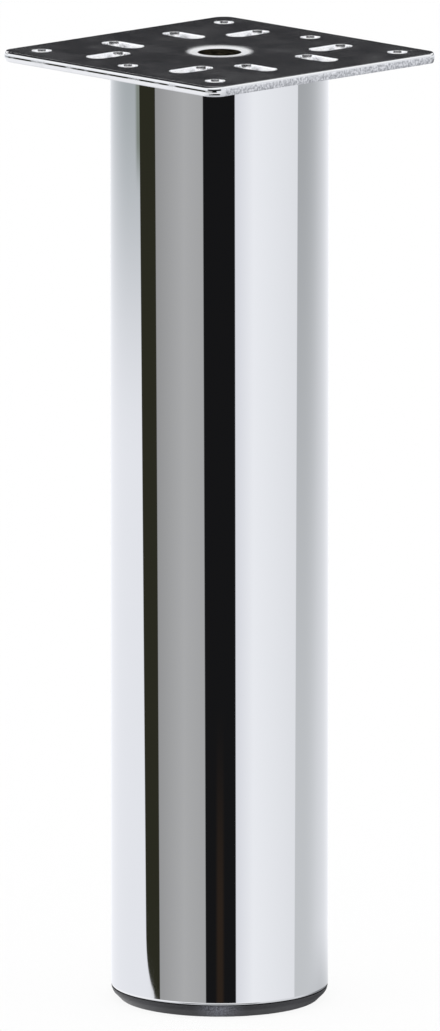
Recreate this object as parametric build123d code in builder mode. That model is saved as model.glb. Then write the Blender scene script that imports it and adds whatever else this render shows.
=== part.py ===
"""Chromed tube leg for furniture: a stamped mounting plate, a round tube and a screw-out foot.

Millimetres, +Z up. The origin is on the floor, on the tube's axis.
The plate's sides run along X and Y.
"""

import os
from math import cos, radians

from build123d import *

# Tube
tube_diameter = 60.0
tube_wall = 1.5
tube_length = 258.5
tube_end_bevel = 0.6

# Mounting plate, punched from the top side
plate_side = 86.0
plate_thickness = 2.8
plate_corner_radius = 4.3
plate_top_bevel = 0.4

# Screw holes and slots in the plate
screw_hole_diameter = 5.5
screw_hole_margin = 8.5
slot_length = 14.0
slot_width = 6.6
slot_offset = 26.4
x_slot_pitch = 23.0
y_slot_pitch = 33.0

# Collar drawn down from the plate and tapped for the leg's bolt
collar_thread_diameter = 12.0
collar_draw_width = 5.0
collar_draw_depth = 0.3
collar_wall = 2.2
collar_height = 5.0
collar_root_bevel = 1.0

# Disc welded inside the top of the tube, with the bolt that the plate screws on
top_disc_thickness = 4.0
top_bolt_across_flats = 19.0
top_bolt_head_height = 7.5
top_bolt_end_depth = 2.6
top_nut_height = 6.0
top_nut_gap = 2.5

# Foot: a moulded disc on a hexagon-head screw
foot_height = 3.4
foot_gap = 0.3
foot_inset = 0.1
foot_taper = 2.4
foot_sole_bevel = 0.4
foot_travel = 20.0
foot_sole_width = 9.0
foot_sole_recess = 0.6
foot_hub_wall = 2.5
foot_hub_cover = 3.0
foot_screw_diameter = 10.0
foot_screw_across_flats = 17.0
foot_screw_head_height = 6.4
foot_screw_head_recess = 0.8

# Plug pressed into the bottom of the tube, with the nut that the foot's screw runs in
plug_wall = 2.4
plug_crush_rib_height = 0.8
plug_crush_rib_width = 1.6
plug_crush_rib_count = 12
plug_web = 3.0
plug_boss_wall = 2.5
plug_boss_clearance = 5.0
plug_nut_height = 8.0
plug_nut_lip = 1.0
plug_rib_count = 6
plug_rib_thickness = 2.0

# Clearances, per side
press_clearance = 0.05
thread_clearance = 0.1
hexagon_clearance = 0.1
screw_passage_clearance = 0.5

# Heights, from the floor up
tube_bottom = foot_height + foot_gap
plate_bottom = tube_bottom + tube_length
plate_top = plate_bottom + plate_thickness
foot_head_top = foot_screw_head_recess + foot_screw_head_height
foot_hub_top = foot_head_top + foot_hub_cover
plug_boss_bottom = foot_hub_top + plug_boss_clearance
plug_nut_bottom = plug_boss_bottom + plug_nut_lip
plug_web_bottom = plug_nut_bottom + plug_nut_height
plug_top = plug_web_bottom + plug_web
foot_screw_tip = plug_top + foot_travel
collar_bottom = plate_bottom - collar_height
top_disc_top = collar_bottom - top_nut_gap - top_nut_height
top_disc_bottom = top_disc_top - top_disc_thickness
top_bolt_head_bottom = top_disc_bottom - top_bolt_head_height

# Radii
tube_radius = tube_diameter / 2
tube_bore_radius = tube_radius - tube_wall
tube_fit_radius = tube_bore_radius - press_clearance
collar_bore_radius = collar_thread_diameter / 2
top_bolt_radius = collar_bore_radius - thread_clearance
foot_screw_radius = foot_screw_diameter / 2 - thread_clearance
foot_radius = tube_radius - foot_inset

# Spacings of the plate's holes and slots
screw_hole_spacing = plate_side - 2 * screw_hole_margin
slot_spacing = 2 * slot_offset


def corner_radius(across_flats):
    """Distance from a hexagon's centre to its corners."""
    return across_flats / 2 / cos(radians(30))


def hexagon_bolt(across_flats, head_bottom, head_height, shank_radius, tip):
    """A bolt that stands on its hexagon head, with its thread left plain."""
    head_top = head_bottom + head_height
    with BuildPart() as bolt:
        with BuildSketch(Plane.XY.offset(head_bottom)):
            RegularPolygon(across_flats / 2, 6, major_radius=False)
        extrude(amount=head_height)
        with BuildSketch(Plane.XY.offset(head_top)):
            Circle(shank_radius)
        extrude(amount=tip - head_top)
    return bolt


def hexagon_nut(across_flats, bottom, height, bore_radius):
    """A hexagon nut, with its thread left plain."""
    with BuildPart() as nut:
        with BuildSketch(Plane.XY.offset(bottom)):
            RegularPolygon(across_flats / 2, 6, major_radius=False)
            Circle(bore_radius, mode=Mode.SUBTRACT)
        extrude(amount=height)
    return nut


# Mounting plate: rounded square with screw holes, slots and the drawn collar
with BuildPart() as mounting_plate:
    with BuildSketch(Plane.XY.offset(plate_bottom)):
        RectangleRounded(plate_side, plate_side, plate_corner_radius)
        with GridLocations(screw_hole_spacing, screw_hole_spacing, 2, 2):
            Circle(screw_hole_diameter / 2, mode=Mode.SUBTRACT)
        with GridLocations(0, screw_hole_spacing, 1, 2):
            Circle(screw_hole_diameter / 2, mode=Mode.SUBTRACT)
        with GridLocations(slot_spacing, x_slot_pitch, 2, 2):
            SlotOverall(slot_length, slot_width, mode=Mode.SUBTRACT)
        with GridLocations(y_slot_pitch, slot_spacing, 2, 2):
            SlotOverall(slot_length, slot_width, rotation=90, mode=Mode.SUBTRACT)
    extrude(amount=plate_thickness)
    chamfer(mounting_plate.faces().sort_by(Axis.Z)[-1].outer_wire().edges(), plate_top_bevel)
    with BuildSketch(Plane.XY.offset(plate_bottom)):
        Circle(collar_bore_radius + collar_wall)
    extrude(amount=-collar_height)
    chamfer(mounting_plate.edges(Select.LAST).group_by(Axis.Z)[-1], collar_root_bevel)
    with Locations((0, 0, plate_top)):
        Hole(collar_bore_radius, depth=plate_thickness + collar_height)
    with BuildSketch(Plane.XZ):
        draw_radius = (collar_draw_width**2 + collar_draw_depth**2) / (2 * collar_draw_depth)
        draw_edge = collar_bore_radius + collar_draw_width
        with BuildLine():
            RadiusArc(
                (draw_edge, plate_top),
                (collar_bore_radius, plate_top - collar_draw_depth),
                -draw_radius,
            )
            Polyline(
                (collar_bore_radius, plate_top - collar_draw_depth),
                (0, plate_top - collar_draw_depth),
                (0, plate_top),
                (draw_edge, plate_top),
            )
        make_face()
    revolve(axis=Axis.Z, mode=Mode.SUBTRACT)

# Tube: its lower edge is broken where it shows above the foot
with BuildPart() as tube:
    with BuildSketch(Plane.XY.offset(tube_bottom)):
        Circle(tube_radius)
        Circle(tube_bore_radius, mode=Mode.SUBTRACT)
    extrude(amount=tube_length)
    chamfer(tube.edges().group_by(Axis.Z)[0].sort_by(SortBy.RADIUS)[-1], tube_end_bevel)

# Disc in the top of the tube
with BuildPart() as top_disc:
    with BuildSketch(Plane.XY.offset(top_disc_bottom)):
        Circle(tube_fit_radius)
    extrude(amount=top_disc_thickness)
    with Locations((0, 0, top_disc_top)):
        Hole(top_bolt_radius + thread_clearance, depth=top_disc_thickness)

# Bolt up through the disc, and the thin nut that locks it
top_bolt = hexagon_bolt(
    top_bolt_across_flats,
    top_bolt_head_bottom,
    top_bolt_head_height,
    top_bolt_radius,
    plate_top - top_bolt_end_depth,
)
top_nut = hexagon_nut(top_bolt_across_flats, top_disc_top, top_nut_height, collar_bore_radius)

# Plug: sleeve with crush ribs, web and nut boss, joined by radial ribs
with BuildPart() as end_plug:
    plug_core_radius = tube_fit_radius - plug_crush_rib_height
    plug_inside_radius = plug_core_radius - plug_wall
    plug_boss_radius = corner_radius(foot_screw_across_flats) + hexagon_clearance + plug_boss_wall
    with BuildSketch(Plane.XY.offset(tube_bottom)):
        Circle(plug_core_radius)
        with PolarLocations(plug_core_radius, plug_crush_rib_count):
            Rectangle(2 * plug_crush_rib_height, plug_crush_rib_width)
        Circle(plug_inside_radius, mode=Mode.SUBTRACT)
    extrude(amount=plug_top - tube_bottom)
    with BuildSketch(Plane.XY.offset(plug_web_bottom)):
        Circle(plug_core_radius)
    extrude(amount=plug_web)
    with BuildSketch(Plane.XY.offset(plug_boss_bottom)):
        Circle(plug_boss_radius)
        rib_length = plug_core_radius - plug_wall / 2
        with PolarLocations(rib_length / 2, plug_rib_count):
            Rectangle(rib_length, plug_rib_thickness)
    extrude(amount=plug_web_bottom - plug_boss_bottom)
    with BuildSketch(Plane.XY.offset(plug_boss_bottom)):
        RegularPolygon(foot_screw_across_flats / 2 + hexagon_clearance, 6, major_radius=False)
    extrude(amount=plug_web_bottom - plug_boss_bottom, mode=Mode.SUBTRACT)
    with Locations((0, 0, plug_top)):
        Hole(foot_screw_diameter / 2 + screw_passage_clearance, depth=plug_web)
plug_nut = hexagon_nut(foot_screw_across_flats, plug_nut_bottom, plug_nut_height, foot_screw_diameter / 2)

# Foot: disc that tapers to its sole, hub upwards and a pocket for the screw head below
with BuildPart() as foot_disc:
    foot_pocket_flat = foot_screw_across_flats / 2 + hexagon_clearance
    foot_hub_radius = corner_radius(2 * foot_pocket_flat) + foot_hub_wall
    Cone(foot_radius - foot_taper, foot_radius, foot_height, align=(Align.CENTER, Align.CENTER, Align.MIN))
    chamfer(foot_disc.edges().group_by(Axis.Z)[0], foot_sole_bevel)
    with BuildSketch(Plane.XY.offset(foot_height)):
        Circle(foot_hub_radius)
    extrude(amount=foot_hub_top - foot_height)
    with BuildSketch():
        Circle(foot_radius - foot_sole_width)
    extrude(amount=foot_sole_recess, mode=Mode.SUBTRACT)
    with BuildSketch():
        RegularPolygon(foot_pocket_flat, 6, major_radius=False)
    extrude(amount=foot_head_top, mode=Mode.SUBTRACT)
    with Locations((0, 0, foot_hub_top)):
        Hole(foot_screw_diameter / 2, depth=foot_hub_cover)
foot_screw = hexagon_bolt(
    foot_screw_across_flats,
    foot_screw_head_recess,
    foot_screw_head_height,
    foot_screw_radius,
    foot_screw_tip,
)

# Named pieces, one file each
pieces = {
    "mounting_plate": mounting_plate,
    "tube": tube,
    "top_disc": top_disc,
    "top_bolt": top_bolt,
    "top_nut": top_nut,
    "end_plug": end_plug,
    "plug_nut": plug_nut,
    "foot_disc": foot_disc,
    "foot_screw": foot_screw,
}
os.makedirs("parts", exist_ok=True)
for name, piece in pieces.items():
    piece.part.label = name
    export_step(piece.part, f"parts/{name}.step")
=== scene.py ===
"""Looks of the chromed furniture leg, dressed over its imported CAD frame.

Metres, +Z up, the tube's axis on the origin. Every dressed piece takes its place and main sizes
from the CAD node that it stands for. Sizes that a node's box cannot give are named below, in
millimetres.
"""

from math import cos, pi, radians, sin, tan

import bmesh
import bpy
from mathutils import Matrix, Vector


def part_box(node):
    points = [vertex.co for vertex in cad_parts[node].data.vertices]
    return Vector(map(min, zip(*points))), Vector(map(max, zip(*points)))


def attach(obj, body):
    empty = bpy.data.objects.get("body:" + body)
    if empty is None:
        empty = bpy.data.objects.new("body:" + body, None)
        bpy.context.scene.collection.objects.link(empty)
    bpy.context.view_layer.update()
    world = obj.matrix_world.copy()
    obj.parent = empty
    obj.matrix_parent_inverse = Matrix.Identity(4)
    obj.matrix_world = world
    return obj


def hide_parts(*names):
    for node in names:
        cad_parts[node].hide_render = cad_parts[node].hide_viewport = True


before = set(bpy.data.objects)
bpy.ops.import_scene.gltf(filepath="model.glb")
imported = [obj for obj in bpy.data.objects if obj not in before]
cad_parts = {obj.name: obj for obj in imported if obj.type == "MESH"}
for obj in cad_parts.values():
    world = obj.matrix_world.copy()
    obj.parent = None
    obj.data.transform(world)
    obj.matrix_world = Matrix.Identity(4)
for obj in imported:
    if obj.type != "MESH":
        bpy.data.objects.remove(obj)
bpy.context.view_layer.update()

MM = 0.001

# Camera, as fitted to the photograph
CAMERA_AZIMUTH = radians(46.431)
CAMERA_PAN = radians(-0.0013)
CAMERA_DISTANCE = 5.3967
CAMERA_HEIGHT = 1.1639
CAMERA_TILT = radians(10.790)
CAMERA_LENS = 696.3
SENSOR_WIDTH = 36.0
CLIP_START = 0.1
CLIP_END = 100
TOWARDS_CAMERA = Vector((sin(CAMERA_AZIMUTH), -cos(CAMERA_AZIMUTH), 0))
RIGHT_OF_CAMERA = Vector((cos(CAMERA_AZIMUTH), sin(CAMERA_AZIMUTH), 0))

# Studio
CARD_STRENGTH = 1.36
FLOOR_HALF_WIDTH = 60
FLOOR_CLEAR_SHARE = 0.9

# Tube
TUBE_WALL = 1.5 * MM
TUBE_END_HEIGHT = 0.45 * MM
TUBE_END_WIDTH = 0.25 * MM
TUBE_END_ROUND = 0.15 * MM
TUBE_ROLL_ROUND = 0.3 * MM
TUBE_LIP_ROUND = 0.3 * MM

# Mounting plate; depths are below its top
PLATE_CORNER = 4.3 * MM
BEVEL_DEPTH = 0.4 * MM
CROP_DEPTH = 0.7 * MM

# Outer edge of the plate from its top down, in millimetres: growth in X, growth in Y and depth
EDGE_PROFILE = (
    (-0.35, -0.54, 0.0),
    (-0.31, -0.5, 0.02),
    (-0.175, -0.366, 0.17),
    (-0.1, -0.16, 0.4),
    (-0.06, -0.08, 0.56),
    (-0.03, -0.03, 0.78),
    (-0.01, -0.01, 0.98),
    (0.0, 0.0, 1.08),
    (0.0, 0.0, 1.14),
    (0.0, 0.0, 1.56),
    (0.0, 0.0, 1.62),
    (-0.06, -0.06, 1.9),
    (-0.15, -0.15, 2.25),
    (-0.28, -0.28, 2.6),
)
EDGE_UNDERCUT = 0.4 * MM

# Punched openings: the sheet sinks to the rim, and the wall leans in as far as its waist
SCREW_HOLE = 5.5 * MM
SCREW_HOLE_SPACING = 69.0 * MM
SLOT_LENGTH = 14.0 * MM
SLOT_WIDTH = 6.6 * MM
SLOT_OFFSET = 26.4 * MM
X_SLOT_PITCH = 23.0 * MM
Y_SLOT_PITCH = 33.0 * MM
SINK_WIDTH = 0.02 * MM
SINK_DEPTH = 0.01 * MM
RIM_WIDTH = 0.05 * MM
RIM_DEPTH = 0.038 * MM
ROLL_DEPTH = 0.4 * MM
WAIST_DEPTH = 1.4 * MM
WAIST_HEIGHT = 0.4 * MM
BREAK_OUT = 0.1 * MM

# How far a wall leans in, at the depth of the roll and at the waist
HOLE_LEANS = (0.065 * MM, 0.22 * MM)
SLOT_SIDE_LEANS = (0.077 * MM, 0.227 * MM)
SLOT_END_LEANS = (0.065 * MM, 0.2 * MM)

# Collar drawn down from the plate, and the dish round it
COLLAR_BORE = 6.0 * MM
COLLAR_OUTSIDE = 8.2 * MM
COLLAR_ROOT = 1.0 * MM
COLLAR_MOUTH_ROUND = 0.1 * MM
COLLAR_INNER_ROUND = 0.3 * MM
COLLAR_OUTER_ROUND = 0.6 * MM
COLLAR_PITCH = 1.75 * MM
DRAW_WIDTH = 7.0 * MM
DRAW_DEPTH = 0.2 * MM
DRAW_ROUND_SHARE = 0.8
DRAW_SATIN = 10.2 * MM
DRAW_SATIN_FADE = 3.2 * MM

# Ridge of the collar's thread: how far in from the bore, and how far above the collar's end
RIDGE_SECTION = (
    (-0.05 * MM, 0.5 * MM),
    (0.55 * MM, 1.2 * MM),
    (0.55 * MM, 1.4 * MM),
    (-0.05 * MM, 2.1 * MM),
)
RIDGE_TURNS = 3

# Levelling foot
SOLE_RADIUS = 20.9 * MM
SOLE_RECESS = 0.6 * MM
SOLE_INNER_ROUND = 0.2 * MM
SOLE_OUTER_ROUND = 0.3 * MM
FOOT_HEIGHT = 3.4 * MM
FOOT_BEVEL = 2.6 * MM
FOOT_BEVEL_ROUND = 1.0 * MM
FOOT_LIP_HEIGHT = 0.15 * MM
FOOT_LIP_WIDTH = 1.2 * MM
FOOT_LIP_SPREAD = 1.2
FOOT_LIP_ROUND = 0.1 * MM
FOOT_BORE = 5.0 * MM
HUB_RADIUS = 12.43 * MM
HUB_ROOT_ROUND = 0.8 * MM
HUB_TOP_ROUND = 0.5 * MM
POCKET_FLATS = 17.2 * MM
POCKET_CEILING = 7.2 * MM
# Painted highlight on the foot's rim towards the camera: its distance out, its height and its reach
PAINTED_HIGHLIGHT_RADIUS = 28.5 * MM
PAINTED_HIGHLIGHT_HEIGHT = 2.2 * MM
PAINTED_HIGHLIGHT_REACH = 8.0 * MM

# The two hexagon-head screws
FOOT_SCREW_FLATS = 17.0 * MM
FOOT_SCREW_HEAD = 6.4 * MM
FOOT_SCREW_RADIUS = 4.9 * MM
FOOT_SCREW_PITCH = 1.5 * MM
LEG_BOLT_FLATS = 19.0 * MM
LEG_BOLT_HEAD = 7.5 * MM
LEG_BOLT_CLEARANCE = 0.15 * MM
SHANK_OVERLAP = 0.5 * MM
HEAD_FACE_SHARE = 0.475
HEAD_CHAMFER = radians(30)
THREAD_DEPTH_SHARE = 0.6
SPARE_TEETH = 2
SCREW_SHARP = 25

# Fineness of the meshes
TUBE_STEPS = 288
COLLAR_STEPS = 96
FOOT_STEPS = 192
SHANK_STEPS = 48
RIDGE_STEPS = 64
SECTION_SEGMENTS = 8
LOOP_SEGMENTS = 12
HEXAGON_SIDE_PARTS = 8
FULLEST_ROUND = 0.499
BORE_TOLERANCE = 0.01 * MM
LEVEL_TOLERANCE = 1e-7
CUT_TOLERANCE = 1e-9
SHANK_WELD = 0.001 * MM
PIECE_WELD = 0.0005 * MM

# Finishes of the plate, in the order of its materials
SHEET, SLIT, PUNCHED, TAPPED, CROPPED = range(5)

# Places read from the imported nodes
tube_low, tube_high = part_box("tube")
plate_low, plate_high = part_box("mounting_plate")
foot_low, foot_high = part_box("foot_disc")
foot_screw_low, foot_screw_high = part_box("foot_screw")
leg_bolt_low, leg_bolt_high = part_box("top_bolt")
plate_top = plate_high.z
plate_bottom = tube_high.z


def to_linear(colour):
    """Linear RGBA of an sRGB hex colour."""
    channels = [int(colour[i : i + 2], 16) / 255 for i in (1, 3, 5)]
    linear = [c / 12.92 if c <= 0.04045 else ((c + 0.055) / 1.055) ** 2.4 for c in channels]
    return (*linear, 1.0)


def per_metre(millimetres):
    """Pattern scale whose features are about this size."""
    return 1 / (millimetres * MM)


def add_node(tree, kind, inputs=None, **settings):
    """Adds a node with its settings; an input takes a value or another node's output."""
    made = tree.nodes.new(kind)
    for name, value in settings.items():
        setattr(made, name, value)
    for name, value in (inputs or {}).items():
        if isinstance(value, bpy.types.NodeSocket):
            tree.links.new(value, made.inputs[name])
        else:
            made.inputs[name].default_value = value
    return made


def new_material(name):
    """An empty node material and its tree."""
    material = bpy.data.materials.new(name)
    material.use_nodes = True
    material.node_tree.nodes.clear()
    return material, material.node_tree


# Materials


def polished_chrome():
    """Chrome plate on a belt-polished tube: a clear mirror.

    It has a trace of haze, and faint waves along the tube.
    """
    material, tree = new_material("chrome_plate_polished")
    place = add_node(tree, "ShaderNodeTexCoord").outputs["Object"]
    haze = add_node(
        tree, "ShaderNodeTexNoise", {"Vector": place, "Scale": per_metre(18), "Detail": 3.0}
    ).outputs["Fac"]
    roughness = add_node(
        tree,
        "ShaderNodeMapRange",
        {"Value": haze, "From Min": 0.35, "From Max": 0.7, "To Min": 0.005, "To Max": 0.013},
    ).outputs["Result"]
    along = add_node(
        tree, "ShaderNodeMapping", {"Vector": place, "Scale": (1.0, 1.0, 0.05)}
    ).outputs["Vector"]
    wave = add_node(
        tree, "ShaderNodeTexNoise", {"Vector": along, "Scale": per_metre(14), "Detail": 1.0}
    ).outputs["Fac"]
    bump = add_node(
        tree, "ShaderNodeBump", {"Height": wave, "Strength": 1.0, "Distance": 0.012 * MM}
    ).outputs["Normal"]
    shader = add_node(
        tree,
        "ShaderNodeBsdfPrincipled",
        {
            "Base Color": to_linear("#DCDDDF"),
            "Metallic": 1.0,
            "Roughness": roughness,
            "Normal": bump,
        },
    ).outputs["BSDF"]
    add_node(tree, "ShaderNodeOutputMaterial", {"Surface": shader})
    return material


def sheet_chrome():
    """Chrome plate on rolled sheet: bright, with the soft orange peel of unpolished steel under it.

    Round the drawn collar the sheet is stretched, which leaves it satin.
    """
    material, tree = new_material("chrome_plate_on_sheet")
    place = add_node(tree, "ShaderNodeTexCoord").outputs["Object"]
    haze = add_node(
        tree, "ShaderNodeTexNoise", {"Vector": place, "Scale": per_metre(9), "Detail": 4.0}
    ).outputs["Fac"]
    roughness = add_node(
        tree,
        "ShaderNodeMapRange",
        {"Value": haze, "From Min": 0.3, "From Max": 0.75, "To Min": 0.05, "To Max": 0.09},
    ).outputs["Result"]
    level = add_node(
        tree, "ShaderNodeVectorMath", {0: place, 1: (1, 1, 0)}, operation="MULTIPLY"
    ).outputs["Vector"]
    radius = add_node(
        tree, "ShaderNodeVectorMath", {0: level}, operation="LENGTH"
    ).outputs["Value"]
    stretched = add_node(
        tree,
        "ShaderNodeMapRange",
        {
            "Value": radius,
            "From Min": DRAW_SATIN,
            "From Max": DRAW_SATIN - DRAW_SATIN_FADE,
            "To Min": 0.0,
            "To Max": 0.32,
        },
        interpolation_type="SMOOTHSTEP",
    ).outputs["Result"]
    satin = add_node(
        tree, "ShaderNodeMath", {0: roughness, 1: stretched}, operation="ADD"
    ).outputs["Value"]
    peel = add_node(
        tree, "ShaderNodeTexNoise", {"Vector": place, "Scale": per_metre(2.5), "Detail": 2.0}
    ).outputs["Fac"]
    bump = add_node(
        tree, "ShaderNodeBump", {"Height": peel, "Strength": 1.0, "Distance": 0.006 * MM}
    ).outputs["Normal"]
    shader = add_node(
        tree,
        "ShaderNodeBsdfPrincipled",
        {
            "Base Color": to_linear("#DADBDD"),
            "Metallic": 1.0,
            "Roughness": satin,
            "Normal": bump,
        },
    ).outputs["BSDF"]
    add_node(tree, "ShaderNodeOutputMaterial", {"Surface": shader})
    return material


def slit_chrome():
    """Chrome plate on the slit edges of the strip: smooth and bright, with a slow waver."""
    material, tree = new_material("chrome_plate_on_slit_edge")
    place = add_node(tree, "ShaderNodeTexCoord").outputs["Object"]
    waver = add_node(
        tree, "ShaderNodeTexNoise", {"Vector": place, "Scale": per_metre(6), "Detail": 3.0}
    ).outputs["Fac"]
    roughness = add_node(
        tree,
        "ShaderNodeMapRange",
        {"Value": waver, "From Min": 0.5, "From Max": 0.64, "To Min": 0.03, "To Max": 0.26},
    ).outputs["Result"]
    bump = add_node(
        tree, "ShaderNodeBump", {"Height": waver, "Strength": 1.0, "Distance": 0.015 * MM}
    ).outputs["Normal"]
    shader = add_node(
        tree,
        "ShaderNodeBsdfPrincipled",
        {
            "Base Color": to_linear("#DADBDD"),
            "Metallic": 1.0,
            "Roughness": roughness,
            "Normal": bump,
        },
    ).outputs["BSDF"]
    add_node(tree, "ShaderNodeOutputMaterial", {"Surface": shader})
    return material


def cropped_chrome():
    """Chrome plate on the cropped edges of the strip: grey and grainy, with the shear's tears."""
    material, tree = new_material("chrome_plate_on_cropped_edge")
    place = add_node(tree, "ShaderNodeTexCoord").outputs["Object"]
    upright = add_node(
        tree, "ShaderNodeMapping", {"Vector": place, "Scale": (1.0, 1.0, 0.7)}
    ).outputs["Vector"]
    # Tears are about 0.3 mm apart; they are drawn at 0.5 mm so that they show
    tears = add_node(
        tree,
        "ShaderNodeTexNoise",
        {"Vector": upright, "Scale": per_metre(0.5), "Detail": 3.0, "Roughness": 0.6},
    ).outputs["Fac"]
    colour = add_node(tree, "ShaderNodeValToRGB", {"Fac": tears})
    colour.color_ramp.elements[0].position = 0.4
    colour.color_ramp.elements[0].color = to_linear("#A6A8AC")
    colour.color_ramp.elements[1].position = 0.6
    colour.color_ramp.elements[1].color = to_linear("#E8E9EC")
    roughness = add_node(
        tree,
        "ShaderNodeMapRange",
        {"Value": tears, "From Min": 0.3, "From Max": 0.7, "To Min": 0.36, "To Max": 0.2},
    ).outputs["Result"]
    bump = add_node(
        tree, "ShaderNodeBump", {"Height": tears, "Strength": 1.0, "Distance": 0.05 * MM}
    ).outputs["Normal"]
    shader = add_node(
        tree,
        "ShaderNodeBsdfPrincipled",
        {
            "Base Color": colour.outputs["Color"],
            "Metallic": 1.0,
            "Roughness": roughness,
            "Normal": bump,
        },
    ).outputs["BSDF"]
    add_node(tree, "ShaderNodeOutputMaterial", {"Surface": shader})
    return material


def burnished_chrome():
    """Chrome plate on walls that a punch has burnished: bright satin with faint drag lines."""
    material, tree = new_material("chrome_plate_on_punched_wall")
    place = add_node(tree, "ShaderNodeTexCoord").outputs["Object"]
    upright = add_node(
        tree, "ShaderNodeMapping", {"Vector": place, "Scale": (1.0, 1.0, 0.2)}
    ).outputs["Vector"]
    drag = add_node(
        tree, "ShaderNodeTexNoise", {"Vector": upright, "Scale": per_metre(0.5), "Detail": 2.0}
    ).outputs["Fac"]
    roughness = add_node(
        tree,
        "ShaderNodeMapRange",
        {"Value": drag, "From Min": 0.3, "From Max": 0.7, "To Min": 0.12, "To Max": 0.18},
    ).outputs["Result"]
    shader = add_node(
        tree,
        "ShaderNodeBsdfPrincipled",
        {"Base Color": to_linear("#F0F0F1"), "Metallic": 1.0, "Roughness": roughness},
    ).outputs["BSDF"]
    add_node(tree, "ShaderNodeOutputMaterial", {"Surface": shader})
    return material


def tapped_steel():
    """Steel tapped after plating, oily and bare: near black, with dull brown streaks along it."""
    material, tree = new_material("steel_tapped_oily")
    place = add_node(tree, "ShaderNodeTexCoord").outputs["Object"]
    along = add_node(
        tree, "ShaderNodeMapping", {"Vector": place, "Scale": (1.0, 1.0, 3.0)}
    ).outputs["Vector"]
    streak = add_node(
        tree, "ShaderNodeTexNoise", {"Vector": along, "Scale": per_metre(1.5), "Detail": 3.0}
    ).outputs["Fac"]
    colour = add_node(tree, "ShaderNodeValToRGB", {"Fac": streak})
    colour.color_ramp.elements[0].position = 0.35
    colour.color_ramp.elements[0].color = to_linear("#1C1A15")
    colour.color_ramp.elements[1].position = 0.7
    colour.color_ramp.elements[1].color = to_linear("#4A4537")
    roughness = add_node(
        tree,
        "ShaderNodeMapRange",
        {"Value": streak, "From Min": 0.3, "From Max": 0.7, "To Min": 0.45, "To Max": 0.6},
    ).outputs["Result"]
    shader = add_node(
        tree,
        "ShaderNodeBsdfPrincipled",
        {"Base Color": colour.outputs["Color"], "Metallic": 1.0, "Roughness": roughness},
    ).outputs["BSDF"]
    add_node(tree, "ShaderNodeOutputMaterial", {"Surface": shader})
    return material


def moulded_plastic():
    """Black polyethylene from a spark-eroded mould: a soft sheen broken by fine grain.

    The rim has a painted highlight at the front, towards the camera: a pale patch broken by the
    grain.
    """
    material, tree = new_material("polyethylene_black_moulded")
    place = add_node(tree, "ShaderNodeTexCoord").outputs["Object"]
    flow = add_node(
        tree, "ShaderNodeTexNoise", {"Vector": place, "Scale": per_metre(14), "Detail": 3.0}
    ).outputs["Fac"]
    colour = add_node(tree, "ShaderNodeValToRGB", {"Fac": flow})
    colour.color_ramp.elements[0].position = 0.35
    colour.color_ramp.elements[0].color = to_linear("#1A1A1D")
    colour.color_ramp.elements[1].position = 0.7
    colour.color_ramp.elements[1].color = to_linear("#2B2B30")
    # Spark grain is about 0.1 mm; it is drawn at 0.35 mm so that it shows
    grain = add_node(
        tree, "ShaderNodeTexNoise", {"Vector": place, "Scale": per_metre(0.35), "Detail": 2.0}
    ).outputs["Fac"]
    # Painted highlight: pale colour mixed in on the front of the rim, towards the camera, broken by
    # the grain
    highlight_spot = TOWARDS_CAMERA * PAINTED_HIGHLIGHT_RADIUS + Vector((0, 0, PAINTED_HIGHLIGHT_HEIGHT))
    reach = add_node(
        tree, "ShaderNodeVectorMath", {0: place, 1: highlight_spot}, operation="DISTANCE"
    ).outputs["Value"]
    near = add_node(
        tree,
        "ShaderNodeMapRange",
        {"Value": reach, "From Min": PAINTED_HIGHLIGHT_REACH, "From Max": 0.0},
        interpolation_type="SMOOTHSTEP",
    ).outputs["Result"]
    broken = add_node(
        tree, "ShaderNodeMapRange", {"Value": grain, "From Min": 0.35, "From Max": 0.6}
    ).outputs["Result"]
    painted_highlight = add_node(
        tree, "ShaderNodeMath", {0: near, 1: broken}, operation="MULTIPLY"
    ).outputs["Value"]
    highlighted = add_node(
        tree,
        "ShaderNodeMix",
        {0: painted_highlight, 6: colour.outputs["Color"], 7: to_linear("#7C7E88")},
        data_type="RGBA",
    ).outputs[2]
    roughness = add_node(
        tree,
        "ShaderNodeMapRange",
        {"Value": grain, "From Min": 0.3, "From Max": 0.7, "To Min": 0.38, "To Max": 0.52},
    ).outputs["Result"]
    bump = add_node(
        tree, "ShaderNodeBump", {"Height": grain, "Strength": 1.0, "Distance": 0.03 * MM}
    ).outputs["Normal"]
    shader = add_node(
        tree,
        "ShaderNodeBsdfPrincipled",
        {"Base Color": highlighted, "Roughness": roughness, "IOR": 1.51, "Normal": bump},
    ).outputs["BSDF"]
    add_node(tree, "ShaderNodeOutputMaterial", {"Surface": shader})
    return material


def plated_zinc():
    """Bright zinc plate on screws and nuts: bluish grey, with a cloudy satin sheen."""
    material, tree = new_material("zinc_plate_bright")
    place = add_node(tree, "ShaderNodeTexCoord").outputs["Object"]
    cloud = add_node(
        tree, "ShaderNodeTexNoise", {"Vector": place, "Scale": per_metre(5), "Detail": 4.0}
    ).outputs["Fac"]
    colour = add_node(tree, "ShaderNodeValToRGB", {"Fac": cloud})
    colour.color_ramp.elements[0].color = to_linear("#B4B8BF")
    colour.color_ramp.elements[1].color = to_linear("#D2D4D8")
    roughness = add_node(
        tree,
        "ShaderNodeMapRange",
        {"Value": cloud, "From Min": 0.3, "From Max": 0.7, "To Min": 0.22, "To Max": 0.36},
    ).outputs["Result"]
    shader = add_node(
        tree,
        "ShaderNodeBsdfPrincipled",
        {"Base Color": colour.outputs["Color"], "Metallic": 1.0, "Roughness": roughness},
    ).outputs["BSDF"]
    add_node(tree, "ShaderNodeOutputMaterial", {"Surface": shader})
    return material


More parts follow.
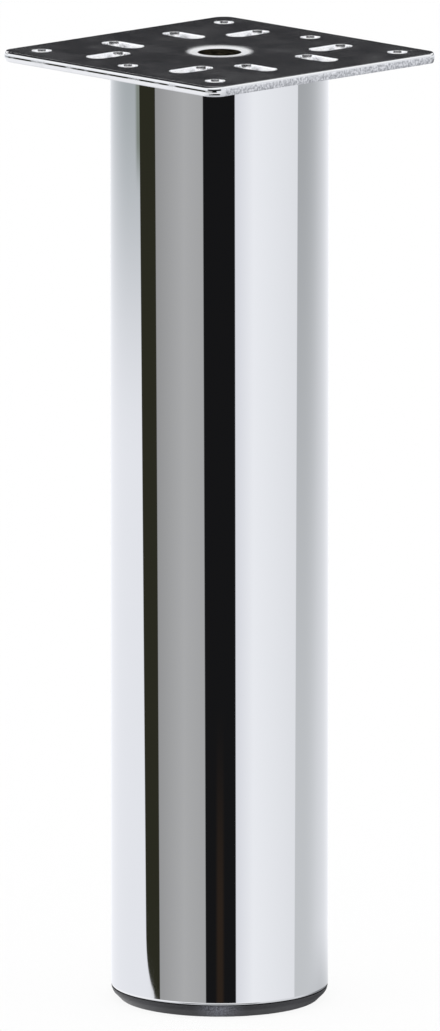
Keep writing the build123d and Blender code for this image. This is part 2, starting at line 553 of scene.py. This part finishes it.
def mill_steel():
    """Bare hot-rolled steel, oiled: dark grey with patches of mill scale."""
    material, tree = new_material("steel_mill_finish")
    place = add_node(tree, "ShaderNodeTexCoord").outputs["Object"]
    scale = add_node(
        tree, "ShaderNodeTexNoise", {"Vector": place, "Scale": per_metre(6), "Detail": 6.0}
    ).outputs["Fac"]
    colour = add_node(tree, "ShaderNodeValToRGB", {"Fac": scale})
    colour.color_ramp.elements[0].color = to_linear("#6C6B69")
    colour.color_ramp.elements[1].color = to_linear("#A2A19E")
    roughness = add_node(
        tree,
        "ShaderNodeMapRange",
        {"Value": scale, "From Min": 0.3, "From Max": 0.7, "To Min": 0.6, "To Max": 0.4},
    ).outputs["Result"]
    shader = add_node(
        tree,
        "ShaderNodeBsdfPrincipled",
        {"Base Color": colour.outputs["Color"], "Metallic": 1.0, "Roughness": roughness},
    ).outputs["BSDF"]
    add_node(tree, "ShaderNodeOutputMaterial", {"Surface": shader})
    return material


tube_chrome = polished_chrome()
plate_chrome = sheet_chrome()
slit_edge_chrome = slit_chrome()
cropped_edge_chrome = cropped_chrome()
wall_chrome = burnished_chrome()
thread_steel = tapped_steel()
black_plastic = moulded_plastic()
zinc = plated_zinc()
bare_steel = mill_steel()


# Shapes


def rounded_off(bm, corners, rounding, segments):
    """Rounds corners of a flat face."""
    bmesh.ops.bevel(
        bm,
        geom=corners,
        offset=rounding,
        offset_type="OFFSET",
        segments=segments,
        profile=0.5,
        affect="VERTICES",
        material=-1,
    )


def spun(bm, geom, steps, climb=0, turns=1):
    """Spins geometry round the leg's axis. The steps and the climb are those of one turn."""
    bmesh.ops.spin(
        bm,
        geom=geom,
        cent=(0, 0, 0),
        axis=(0, 0, 1),
        dvec=(0, 0, climb / steps),
        angle=2 * pi * turns,
        steps=steps * turns,
        use_merge=climb == 0,
    )


def turned(bm, corners, steps, closed=True):
    """Turns a section round the leg's axis. A corner is a radius, a height and its rounding."""
    drawn = [bm.verts.new((radius, 0, height)) for radius, height, _ in corners]
    bm.faces.new(drawn)
    for vert, (_, _, rounding) in zip(drawn, corners):
        if rounding:
            rounded_off(bm, [vert], rounding, SECTION_SEGMENTS)
    bmesh.ops.delete(bm, geom=bm.faces[:], context="FACES_ONLY")
    if not closed:
        bm.edges.remove(bm.edges.get((drawn[0], drawn[-1])))
    spun(bm, bm.verts[:] + bm.edges[:], steps)


def rounded_loop(bm, size_x, size_y, rounding, centre, height):
    """Edges of a rounded rectangle that lies flat; fully rounded, it is a circle or a slot."""
    edges_before = set(bm.edges)
    faces_before = set(bm.faces)
    size = Matrix.Diagonal((size_x, size_y, 1, 1))
    place = Matrix.Translation((centre[0], centre[1], height)) @ size
    corners = bmesh.ops.create_grid(bm, x_segments=1, y_segments=1, size=0.5, matrix=place)["verts"]
    rounded_off(bm, corners, min(rounding, FULLEST_ROUND * min(size_x, size_y)), LOOP_SEGMENTS)
    bmesh.ops.delete(bm, geom=[f for f in bm.faces if f not in faces_before], context="FACES_ONLY")
    return [e for e in bm.edges if e not in edges_before]


def wall(bm, size_x, size_y, rounding, centre, steps, finish):
    """A wall down through the plate. A step is a growth in X, one in Y and a depth."""
    loops = [
        rounded_loop(
            bm,
            size_x + 2 * grown_x,
            size_y + 2 * grown_y,
            rounding + max(grown_x, grown_y),
            centre,
            plate_top - depth,
        )
        for grown_x, grown_y, depth in steps
    ]
    for upper, lower in zip(loops, loops[1:]):
        for face in bmesh.ops.bridge_loops(bm, edges=upper + lower)["faces"]:
            face.material_index = finish


def fill_level(bm, height):
    """Fills the flat between all open rims that lie at one height."""
    edges = [
        e
        for e in bm.edges
        if e.is_boundary and all(abs(v.co.z - height) < LEVEL_TOLERANCE for v in e.verts)
    ]
    bmesh.ops.triangle_fill(bm, edges=edges, use_beauty=True, use_dissolve=False, normal=(0, 0, 1))


def hexagon_loop(bm, across_flats, height):
    """Edges of a hexagon with a corner towards +X, each side divided in equal parts."""
    edges_before = set(bm.edges)
    place = Matrix.Translation((0, 0, height)) @ Matrix.Rotation(radians(30), 4, "Z")
    corner_radius = across_flats / 2 / cos(pi / 6)
    bmesh.ops.create_circle(bm, cap_ends=False, segments=6, radius=corner_radius, matrix=place)
    sides = [e for e in bm.edges if e not in edges_before]
    bmesh.ops.subdivide_edges(bm, edges=sides, cuts=HEXAGON_SIDE_PARTS - 1)
    return [e for e in bm.edges if e not in edges_before]


def round_loop(bm, radius, height):
    """Edges of a circle with as many points as a hexagon loop."""
    edges_before = set(bm.edges)
    place = Matrix.Translation((0, 0, height))
    segments = 6 * HEXAGON_SIDE_PARTS
    bmesh.ops.create_circle(bm, cap_ends=False, segments=segments, radius=radius, matrix=place)
    return [e for e in bm.edges if e not in edges_before]


def hexagon_head(bm, across_flats, bottom, top):
    """A screw head whose free end is turned to the usual chamfer."""
    face_radius = HEAD_FACE_SHARE * across_flats
    face_rim = round_loop(bm, face_radius, bottom)
    free_rim = hexagon_loop(bm, across_flats, bottom)
    for vert in {v for e in free_rim for v in e.verts}:
        vert.co.z += (vert.co.xy.length - face_radius) * tan(HEAD_CHAMFER)
    bearing_rim = hexagon_loop(bm, across_flats, top)
    bmesh.ops.bridge_loops(bm, edges=face_rim + free_rim)
    bmesh.ops.bridge_loops(bm, edges=free_rim + bearing_rim)
    bmesh.ops.edgeloop_fill(bm, edges=face_rim)
    bmesh.ops.edgeloop_fill(bm, edges=bearing_rim)


def threaded_shank(bm, radius, pitch, bottom, tip):
    """A threaded rod: a row of teeth spun one turn as it climbs one pitch, then cut to length."""
    before = set(bm.verts)
    root = radius - THREAD_DEPTH_SHARE * pitch
    # Corners of a tooth: the radius, and the share of the pitch
    tooth = ((root, 0.0), (root, 0.2), (radius, 0.5), (radius, 0.65))
    teeth = int((tip - bottom) / pitch) + 2 * SPARE_TEETH
    drawn = [
        bm.verts.new((tooth_radius, 0, bottom + (number - SPARE_TEETH + share) * pitch))
        for number in range(teeth)
        for tooth_radius, share in tooth
    ]
    edges = [bm.edges.new(pair) for pair in zip(drawn, drawn[1:])]
    spun(bm, drawn + edges, SHANK_STEPS, climb=pitch)
    own = [v for v in bm.verts if v not in before]
    bmesh.ops.remove_doubles(bm, verts=own, dist=SHANK_WELD)
    for height, direction in ((bottom, -1), (tip, 1)):
        own = [v for v in bm.verts if v not in before]
        own_edges = list({e for v in own for e in v.link_edges})
        own_faces = list({f for v in own for f in v.link_faces})
        cut = bmesh.ops.bisect_plane(
            bm,
            geom=own + own_edges + own_faces,
            plane_co=(0, 0, height),
            plane_no=(0, 0, direction),
            clear_outer=True,
            dist=CUT_TOLERANCE,
        )["geom_cut"]
        bmesh.ops.edgeloop_fill(bm, edges=[e for e in cut if isinstance(e, bmesh.types.BMEdge)])
    # The end is chamfered down to the thread's root
    for vert in bm.verts:
        if vert not in before and vert.co.xy.length > 0:
            allowed = root + max(tip - vert.co.z, 0)
            if vert.co.xy.length > allowed:
                vert.co.xy = vert.co.xy * (allowed / vert.co.xy.length)


def dressed(name, bm, materials, body, nodes=(), sharp=40):
    """Makes a bmesh into a piece that rides on a body and stands for its CAD nodes."""
    bmesh.ops.remove_doubles(bm, verts=bm.verts[:], dist=PIECE_WELD)
    bmesh.ops.recalc_face_normals(bm, faces=bm.faces[:])
    mesh = bpy.data.meshes.new(name)
    bm.to_mesh(mesh)
    bm.free()
    for material in materials:
        mesh.materials.append(material)
    mesh.shade_smooth()
    mesh.set_sharp_from_angle(angle=radians(sharp))
    piece = bpy.data.objects.new(name, mesh)
    bpy.context.scene.collection.objects.link(piece)
    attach(piece, body)
    if nodes:
        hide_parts(*nodes)
    # Broad faces keep their own shading next to the small rounds
    even = piece.modifiers.new("even_shading", "WEIGHTED_NORMAL")
    even.weight = 100
    even.keep_sharp = True


# Tube: its lower edge is rolled over above the foot
tube = bmesh.new()
turned(
    tube,
    (
        (tube_high.x - TUBE_END_WIDTH, tube_low.z, TUBE_END_ROUND),
        (tube_high.x, tube_low.z + TUBE_END_HEIGHT, TUBE_ROLL_ROUND),
        (tube_high.x, tube_high.z, TUBE_LIP_ROUND),
        (tube_high.x - TUBE_WALL, tube_high.z, TUBE_LIP_ROUND),
        (tube_high.x - TUBE_WALL, tube_low.z, 0),
    ),
    TUBE_STEPS,
)
dressed("chromed_tube", tube, [tube_chrome], "leg", ["tube"])

# Mounting plate: the drawn collar first, then the walls of the openings and of the outer edge
plate = bmesh.new()
draw_run = (DRAW_WIDTH**2 + DRAW_DEPTH**2) / (2 * DRAW_WIDTH)
turned(
    plate,
    (
        (COLLAR_BORE + DRAW_WIDTH, plate_top, 0),
        (COLLAR_BORE + DRAW_WIDTH - draw_run, plate_top, DRAW_ROUND_SHARE * draw_run),
        (COLLAR_BORE, plate_top - DRAW_DEPTH, COLLAR_MOUTH_ROUND),
        (COLLAR_BORE, plate_low.z, COLLAR_INNER_ROUND),
        (COLLAR_OUTSIDE, plate_low.z, COLLAR_OUTER_ROUND),
        (COLLAR_OUTSIDE, plate_bottom, COLLAR_ROOT),
        (COLLAR_OUTSIDE + 2 * COLLAR_ROOT, plate_bottom, 0),
    ),
    COLLAR_STEPS,
    closed=False,
)
for face in plate.faces:
    if all(abs(v.co.xy.length - COLLAR_BORE) < BORE_TOLERANCE for v in face.verts):
        face.material_index = TAPPED
openings = [
    (SCREW_HOLE, SCREW_HOLE, (x, y), HOLE_LEANS, HOLE_LEANS)
    for x in (-SCREW_HOLE_SPACING / 2, 0, SCREW_HOLE_SPACING / 2)
    for y in (-SCREW_HOLE_SPACING / 2, SCREW_HOLE_SPACING / 2)
]
for side in (-1, 1):
    for end in (-1, 1):
        x_place = (side * SLOT_OFFSET, end * X_SLOT_PITCH / 2)
        y_place = (end * Y_SLOT_PITCH / 2, side * SLOT_OFFSET)
        openings.append((SLOT_LENGTH, SLOT_WIDTH, x_place, SLOT_END_LEANS, SLOT_SIDE_LEANS))
        openings.append((SLOT_WIDTH, SLOT_LENGTH, y_place, SLOT_SIDE_LEANS, SLOT_END_LEANS))
sink_steps = []
for share in (0, 0.25, 0.5, 0.75, 1):
    grown = RIM_WIDTH + SINK_WIDTH * (1 - share)
    sink_steps.append((grown, grown, SINK_DEPTH * share**2))
for size_x, size_y, centre, leans_x, leans_y in openings:
    rounding = min(size_x, size_y) / 2
    wall_steps = [
        (RIM_WIDTH, RIM_WIDTH, SINK_DEPTH),
        (0, 0, SINK_DEPTH + RIM_DEPTH),
        (-leans_x[0], -leans_y[0], ROLL_DEPTH),
        (-leans_x[1], -leans_y[1], WAIST_DEPTH),
        (-leans_x[1], -leans_y[1], WAIST_DEPTH + WAIST_HEIGHT),
        (BREAK_OUT, BREAK_OUT, plate_top - plate_bottom),
    ]
    wall(plate, size_x, size_y, rounding, centre, sink_steps, SHEET)
    wall(plate, size_x, size_y, rounding, centre, wall_steps, PUNCHED)
edge_steps = [tuple(length * MM for length in step) for step in EDGE_PROFILE]
edge_steps.append((-EDGE_UNDERCUT, -EDGE_UNDERCUT, plate_top - plate_bottom))
wall(plate, 2 * plate_high.x, 2 * plate_high.y, PLATE_CORNER, (0, 0), edge_steps, SLIT)
# The top bevel is finished like the sheet, and the straight edges across the strip are cropped
for face in plate.faces:
    centre = face.calc_center_median()
    depth = plate_top - centre.z
    on_cropped_edge = abs(centre.y) < plate_high.y - PLATE_CORNER
    if face.material_index == SLIT and depth < BEVEL_DEPTH:
        face.material_index = SHEET
    elif face.material_index == SLIT and on_cropped_edge and depth > CROP_DEPTH:
        face.material_index = CROPPED
fill_level(plate, plate_top)
fill_level(plate, plate_bottom)
plate_finishes = [plate_chrome, slit_edge_chrome, wall_chrome, thread_steel, cropped_edge_chrome]
dressed("stamped_plate", plate, plate_finishes, "leg", ["mounting_plate"])

# Thread tapped in the collar: one ridge that winds up the bore
thread = bmesh.new()
ridge = [
    thread.verts.new((COLLAR_BORE - inward, 0, plate_low.z + rise))
    for inward, rise in RIDGE_SECTION
]
ridge_face = thread.faces.new(ridge)
ridge_geom = [ridge_face, *ridge_face.edges, *ridge]
spun(thread, ridge_geom, RIDGE_STEPS, climb=COLLAR_PITCH, turns=RIDGE_TURNS)
bmesh.ops.holes_fill(thread, edges=[e for e in thread.edges if e.is_boundary], sides=0)
dressed("collar_thread", thread, [thread_steel], "leg")

# Bolt that the plate's collar screws on
leg_bolt = bmesh.new()
hexagon_head(leg_bolt, LEG_BOLT_FLATS, leg_bolt_low.z, leg_bolt_low.z + LEG_BOLT_HEAD)
threaded_shank(
    leg_bolt,
    COLLAR_BORE - LEG_BOLT_CLEARANCE,
    COLLAR_PITCH,
    leg_bolt_low.z + LEG_BOLT_HEAD - SHANK_OVERLAP,
    leg_bolt_high.z,
)
dressed("leg_bolt", leg_bolt, [zinc], "leg", ["top_bolt"], SCREW_SHARP)

# Foot: turned rim and hub, then the hexagon pocket for the screw head
foot = bmesh.new()
turned(
    foot,
    (
        (SOLE_RADIUS, SOLE_RECESS, 0),
        (SOLE_RADIUS, foot_low.z, SOLE_INNER_ROUND),
        (foot_high.x - FOOT_BEVEL, foot_low.z, SOLE_OUTER_ROUND),
        (foot_high.x, foot_low.z + FOOT_BEVEL, FOOT_BEVEL_ROUND),
        (foot_high.x, FOOT_HEIGHT + FOOT_LIP_HEIGHT, FOOT_LIP_ROUND),
        (foot_high.x - FOOT_LIP_WIDTH, FOOT_HEIGHT + FOOT_LIP_HEIGHT, 0),
        (foot_high.x - FOOT_LIP_SPREAD * FOOT_LIP_WIDTH, FOOT_HEIGHT, 0),
        (HUB_RADIUS, FOOT_HEIGHT, HUB_ROOT_ROUND),
        (HUB_RADIUS, foot_high.z, HUB_TOP_ROUND),
        (FOOT_BORE, foot_high.z, 0),
        (FOOT_BORE, POCKET_CEILING, 0),
    ),
    FOOT_STEPS,
    closed=False,
)
pocket_mouth = hexagon_loop(foot, POCKET_FLATS, SOLE_RECESS)
pocket_end = hexagon_loop(foot, POCKET_FLATS, POCKET_CEILING)
bmesh.ops.bridge_loops(foot, edges=pocket_mouth + pocket_end)
fill_level(foot, SOLE_RECESS)
fill_level(foot, POCKET_CEILING)
dressed("moulded_foot", foot, [black_plastic], "foot", ["foot_disc"])

# Screw of the foot
foot_screw = bmesh.new()
hexagon_head(foot_screw, FOOT_SCREW_FLATS, foot_screw_low.z, foot_screw_low.z + FOOT_SCREW_HEAD)
threaded_shank(
    foot_screw,
    FOOT_SCREW_RADIUS,
    FOOT_SCREW_PITCH,
    foot_screw_low.z + FOOT_SCREW_HEAD - SHANK_OVERLAP,
    foot_screw_high.z,
)
dressed(
    "levelling_screw", foot_screw, [zinc], "foot", ["foot_screw"], SCREW_SHARP
)

# CAD nodes that stay, in their own finish
finishes = {"top_disc": bare_steel, "top_nut": zinc, "end_plug": black_plastic, "plug_nut": zinc}
for node, finish in finishes.items():
    cad_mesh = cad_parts[node].data
    cad_mesh.materials.clear()
    cad_mesh.materials.append(finish)


# Studio


def studio_world():
    """White to the camera, an even light on the object, and cards for the chrome to mirror."""
    world = bpy.data.worlds.new("studio")
    world.use_nodes = True
    tree = world.node_tree
    tree.nodes.clear()
    way = add_node(tree, "ShaderNodeTexCoord").outputs["Generated"]
    height = add_node(tree, "ShaderNodeSeparateXYZ", {"Vector": way}).outputs["Z"]
    facing = add_node(
        tree, "ShaderNodeVectorMath", {0: way, 1: TOWARDS_CAMERA}, operation="DOT_PRODUCT"
    ).outputs["Value"]
    aside = add_node(
        tree, "ShaderNodeVectorMath", {0: way, 1: RIGHT_OF_CAMERA}, operation="DOT_PRODUCT"
    ).outputs["Value"]
    angle = add_node(
        tree, "ShaderNodeMath", {0: aside, 1: facing}, operation="ARCTAN2"
    ).outputs["Value"]
    degrees = add_node(tree, "ShaderNodeMath", {0: angle}, operation="DEGREES").outputs["Value"]
    round_share = add_node(
        tree, "ShaderNodeMapRange", {"Value": degrees, "From Min": -180.0, "From Max": 180.0}
    ).outputs["Result"]

    # Cards in a ring, from behind the leg round by the left, the camera and the right
    cards = add_node(tree, "ShaderNodeValToRGB", {"Fac": round_share})
    ring = (
        (-180, "#E4E5E9"),
        (-74, "#E4E5E9"),
        (-73, "#929292"),
        (-38, "#AAAAAA"),
        (0, "#9E9E9E"),
        (1, "#D8D9DE"),
        (18, "#D8D9DE"),
        (36, "#EAEBEE"),
        (92, "#DEDFE2"),
        (93, "#C2C4C6"),
        (180, "#E4E5E9"),
    )
    elements = cards.color_ramp.elements
    for _ in ring[2:]:
        elements.new(0.5)
    for element, (place, colour) in zip(elements, ring):
        element.position = (place + 180) / 360
        element.color = to_linear(colour)
    seen = cards.outputs["Color"]

    # The sides of some cards lean, so their angle is first moved with the height
    olive_left, olive_right, black_left, black_right, grey_left = [
        add_node(
            tree, "ShaderNodeMath", {0: height, 1: lean, 2: degrees}, operation="MULTIPLY_ADD"
        ).outputs["Value"]
        for lean in (221.0, 132.0, 75.0, 33.0, -99.0)
    ]
    # The left side of the olive card curves at its foot
    corner = add_node(
        tree, "ShaderNodeMapRange", {"Value": height, "From Min": -0.2070, "From Max": -0.2112}
    ).outputs["Result"]
    curve = add_node(
        tree, "ShaderNodeMath", {0: corner, 1: 3.5}, operation="POWER"
    ).outputs["Value"]
    olive_left = add_node(
        tree, "ShaderNodeMath", {0: curve, 1: -16.0, 2: olive_left}, operation="MULTIPLY_ADD"
    ).outputs["Value"]
    overhead = add_node(
        tree, "ShaderNodeMath", {0: facing, 1: -0.45, 2: height}, operation="MULTIPLY_ADD"
    ).outputs["Value"]

    # Layers over the ring. Each is a colour and its limits, and a limit is a value, where the
    # layer's share is 0 and where it is 1.
    front = ((degrees, -54.0, -44.0), (degrees, 54.0, 44.0))
    layers = (
        # Grey wall on the left and the soft border of the olive card
        ("#A4A9AB", (degrees, -79.0, -81.0), (degrees, -200.0, -110.0), (height, -0.185, -0.164)),
        (
            "#80867F",
            (olive_left, -139.0, -134.0),
            (degrees, -80.0, -84.0),
            (height, -0.1715, -0.1685),
        ),
        # Grey cards on the right
        ("#C1C3C5", (grey_left, 107.4, 108.6), (degrees, 130.0, 95.0)),
        ("#A0A2A4", (grey_left, 107.4, 108.6), (degrees, 160.0, 92.0), (height, -0.208, -0.158)),
        ("#A9ABAD", (degrees, 100.0, 140.0), (height, -0.207, -0.213)),
        # Olive card, black card and the brown patch at the black one's foot
        (
            "#2A2A20",
            (olive_left, -131.5, -130.5),
            (olive_right, -93.8, -94.8),
            (height, -0.115, -0.135),
        ),
        ("#151516", (black_left, -30.7, -29.7), (black_right, 11.0, 10.0)),
        ("#2B221B", (degrees, -5.0, -1.0), (degrees, 6.0, 2.0), (height, -0.196, -0.208)),
        # Floor, out to straight below, with a dark patch before the camera
        ("#F0F0F2", (height, -0.235, -0.26)),
        ("#D4D5D8", (height, -0.235, -0.26), (degrees, 20.0, 80.0)),
        ("#7A7B7E", (height, -0.235, -0.26), (degrees, 100.0, 140.0)),
        ("#C8C9CC", (height, -0.55, -0.75)),
        ("#1A1A1B", *front, (height, -0.56, -0.6), (height, -0.76, -0.71)),
        # White above the cards, and the dark room round the camera
        ("#F0F1F4", (height, -0.06, -0.02)),
        ("#F0F1F4", (height, -0.12, -0.09), (degrees, -40.0, -60.0)),
        ("#E4E5E8", (height, -0.12, -0.09), (degrees, 30.0, 50.0)),
        ("#1A1A1B", *front, (height, -0.13, -0.1), (height, 0.24, 0.2)),
        # Dark and white behind the leg, and a dark bar overhead, for the top of the plate
        ("#2E2E30", (height, 0.085, 0.12), (facing, -0.2, -0.4)),
        ("#FFFFFF", (height, 0.185, 0.26), (facing, 0.5, -0.2)),
        ("#FFFFFF", (height, 0.45, 0.60)),
        ("#2E2E30", (overhead, 0.62, 0.68), (overhead, 1.04, 0.98), (facing, -0.65, -0.55)),
    )
    for colour, *limits in layers:
        share = 1.0
        for value, none, full in limits:
            part = add_node(
                tree,
                "ShaderNodeMapRange",
                {"Value": value, "From Min": none, "From Max": full},
                interpolation_type="SMOOTHSTEP",
            ).outputs["Result"]
            share = add_node(
                tree, "ShaderNodeMath", {0: share, 1: part}, operation="MULTIPLY"
            ).outputs["Value"]
        seen = add_node(
            tree, "ShaderNodeMix", {0: share, 6: seen, 7: to_linear(colour)}, data_type="RGBA"
        ).outputs[2]

    rays = add_node(tree, "ShaderNodeLightPath").outputs
    white = add_node(
        tree, "ShaderNodeBackground", {"Color": to_linear("#FFFFFF"), "Strength": 1.0}
    ).outputs["Background"]
    mirrored = add_node(
        tree, "ShaderNodeBackground", {"Color": seen, "Strength": CARD_STRENGTH}
    ).outputs["Background"]
    to_metal = add_node(
        tree, "ShaderNodeMixShader", {0: rays["Is Glossy Ray"], 1: white, 2: mirrored}
    ).outputs["Shader"]
    looked_at = add_node(
        tree,
        "ShaderNodeMath",
        {0: rays["Is Camera Ray"], 1: rays["Is Transmission Ray"]},
        operation="MAXIMUM",
    ).outputs["Value"]
    to_eye = add_node(
        tree, "ShaderNodeMixShader", {0: looked_at, 1: to_metal, 2: white}
    ).outputs["Shader"]
    add_node(tree, "ShaderNodeOutputWorld", {"Surface": to_eye})
    bpy.context.scene.world = world


def pale_floor():
    """A white floor that the camera sees mostly as backdrop, so that a faint shadow is left."""
    material, tree = new_material("floor_white_matt")
    rays = add_node(tree, "ShaderNodeLightPath").outputs
    share = add_node(
        tree,
        "ShaderNodeMath",
        {0: rays["Is Camera Ray"], 1: FLOOR_CLEAR_SHARE},
        operation="MULTIPLY",
    ).outputs["Value"]
    matt = add_node(tree, "ShaderNodeBsdfDiffuse", {"Color": to_linear("#FFFFFF")}).outputs["BSDF"]
    clear = add_node(tree, "ShaderNodeBsdfTransparent").outputs["BSDF"]
    mixed = add_node(tree, "ShaderNodeMixShader", {0: share, 1: matt, 2: clear}).outputs["Shader"]
    add_node(tree, "ShaderNodeOutputMaterial", {"Surface": mixed})
    ground = bmesh.new()
    bmesh.ops.create_grid(ground, x_segments=1, y_segments=1, size=FLOOR_HALF_WIDTH)
    mesh = bpy.data.meshes.new("floor")
    ground.to_mesh(mesh)
    ground.free()
    mesh.materials.append(material)
    floor = bpy.data.objects.new("floor", mesh)
    bpy.context.scene.collection.objects.link(floor)
    floor.visible_glossy = False


def photo_camera():
    """Long lens at the photograph's angle."""
    data = bpy.data.cameras.new("photo_camera")
    data.lens = CAMERA_LENS
    data.sensor_width = SENSOR_WIDTH
    data.clip_start = CLIP_START
    data.clip_end = CLIP_END
    camera = bpy.data.objects.new("photo_camera", data)
    camera.location = TOWARDS_CAMERA * CAMERA_DISTANCE + Vector((0, 0, CAMERA_HEIGHT))
    camera.rotation_euler = (pi / 2 - CAMERA_TILT, 0, CAMERA_AZIMUTH + CAMERA_PAN)
    bpy.context.scene.collection.objects.link(camera)
    bpy.context.scene.camera = camera


studio_world()
pale_floor()
photo_camera()
bpy.context.scene.view_settings.view_transform = "Standard"

bpy.context.view_layer.update()
